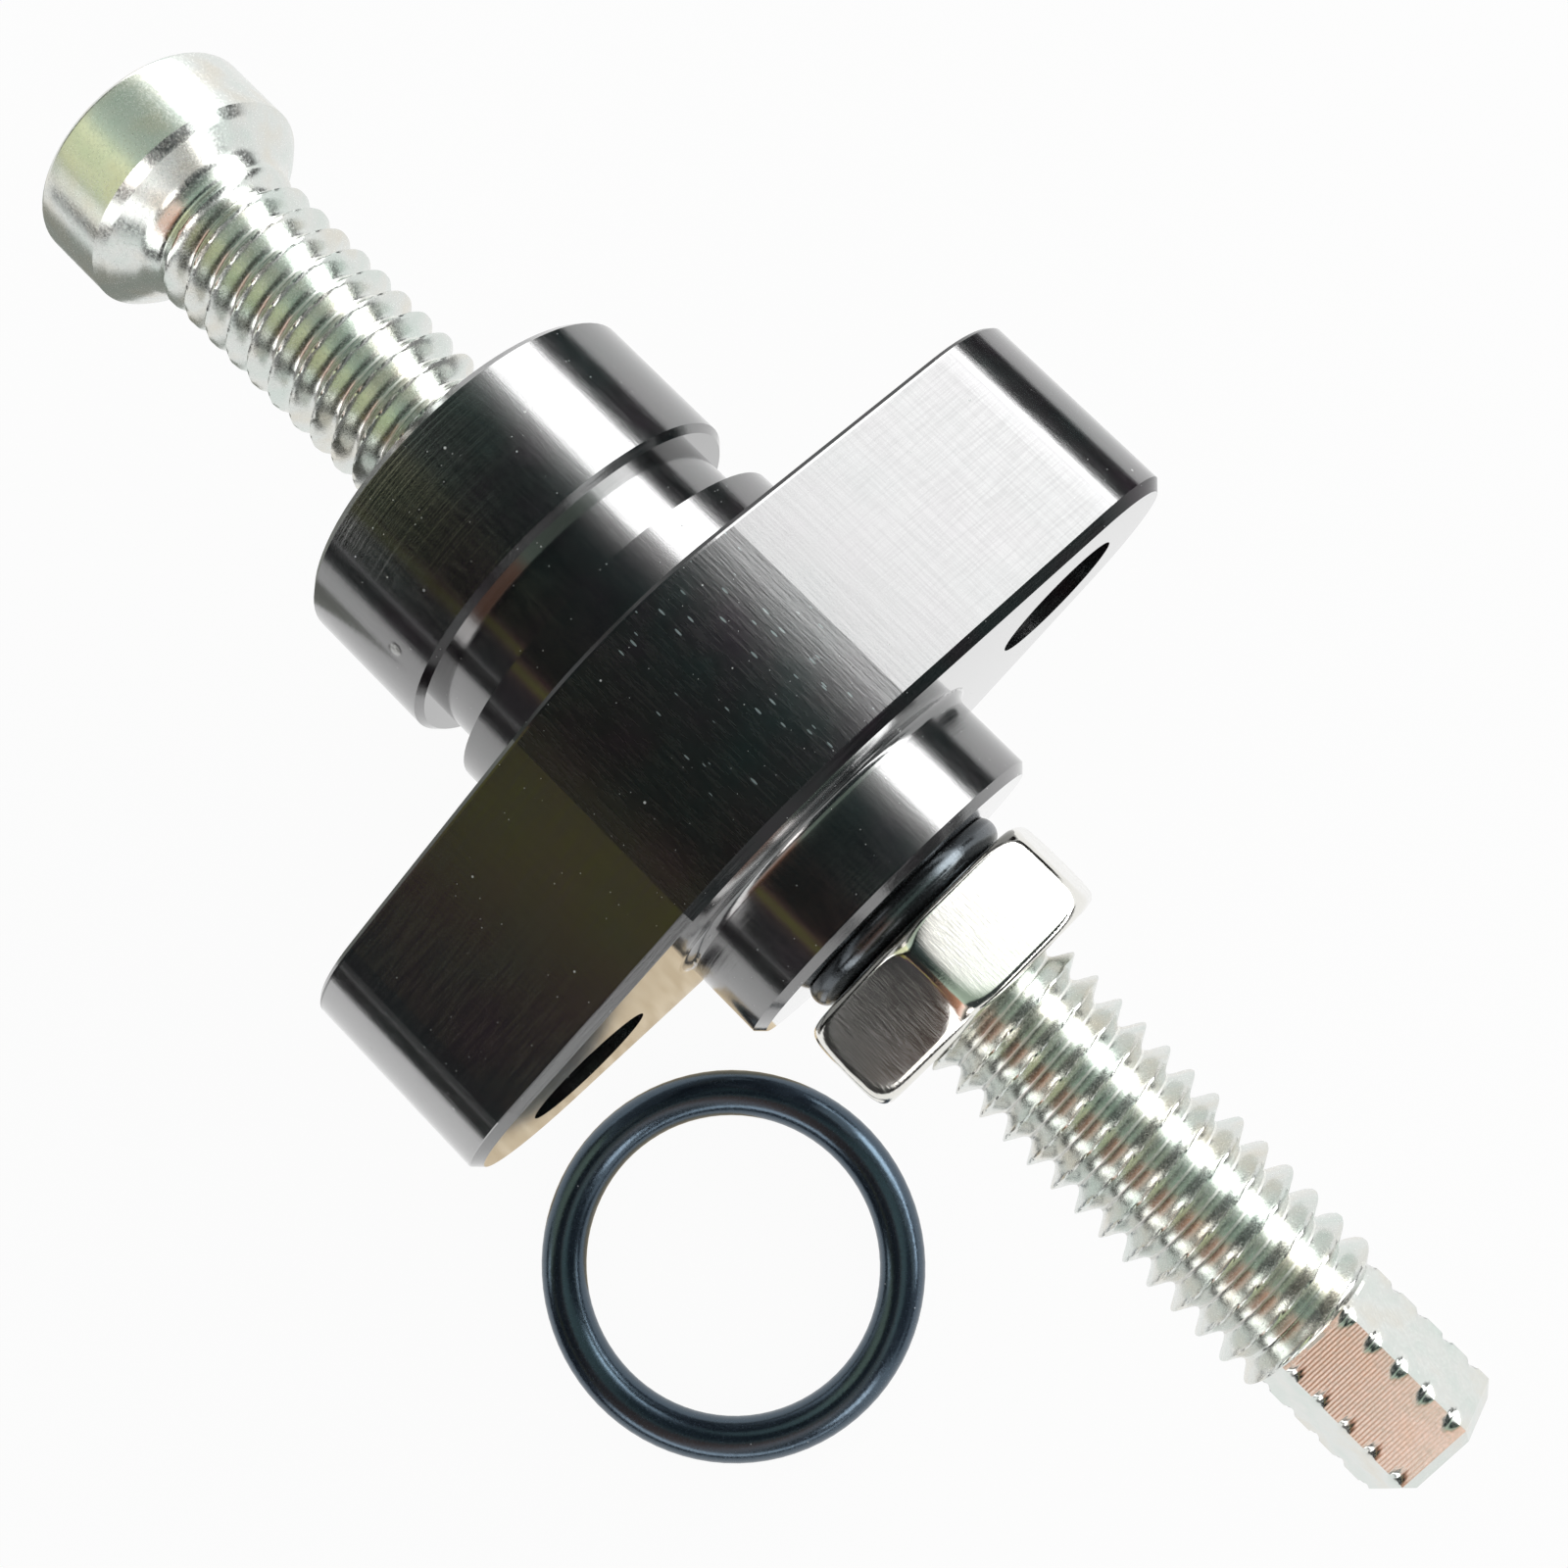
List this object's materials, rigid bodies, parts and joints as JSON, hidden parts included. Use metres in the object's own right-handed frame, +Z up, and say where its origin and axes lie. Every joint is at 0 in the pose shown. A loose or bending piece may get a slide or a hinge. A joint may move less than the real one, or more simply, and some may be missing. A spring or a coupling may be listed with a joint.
{
  "type": "cam chain tensioner",
  "caption": "Manual cam chain tensioner: flanged black body, long threaded adjuster with round head and hexagon tail, jam nut, thread seal and a loose base ring.",
  "frame": {"origin": "centre of the flange's mounting face, on the adjuster's axis", "axes": "+X along the adjuster from its round head to its hexagon tail, +Y from ear to ear of the flange, +Z up"},
  "size_m": [0.0811, 0.0487, 0.0252],
  "materials": {
    "black_anodised": "black anodised, semi-gloss over turning and milling marks",
    "plated_steel": "zinc plated",
    "bright_plating": "bright plated",
    "seal_rubber": "satin",
    "ring_rubber": "satin"
  },
  "bodies": {
    "housing": {"tensioner_body": "black_anodised", "base_o_ring": "ring_rubber"},
    "seal": {"thread_seal": "seal_rubber"},
    "adjuster": {"adjuster_bolt": "plated_steel"},
    "nut": {"lock_nut": "bright_plating"}
  },
  "joints": [
    {"name": "adjuster_turn", "type": "hinge", "parent": "housing", "child": "seal", "pos_m": [0.01508, 0, 0], "axis": [1, 0, 0], "range_deg": [-4680, 3960]},
    {"name": "adjuster_feed", "type": "slide", "parent": "seal", "child": "adjuster", "axis": [1, 0, 0], "range_m": [-0.01835, 0.01553]},
    {"name": "nut_back_off", "type": "slide", "parent": "housing", "child": "nut", "axis": [1, 0, 0], "range_m": [0, 0.012]}
  ],
  "couplings": [
    {"joint": "adjuster_feed", "follows": "adjuster_turn", "m_per_rad": 0.00022457}
  ]
}
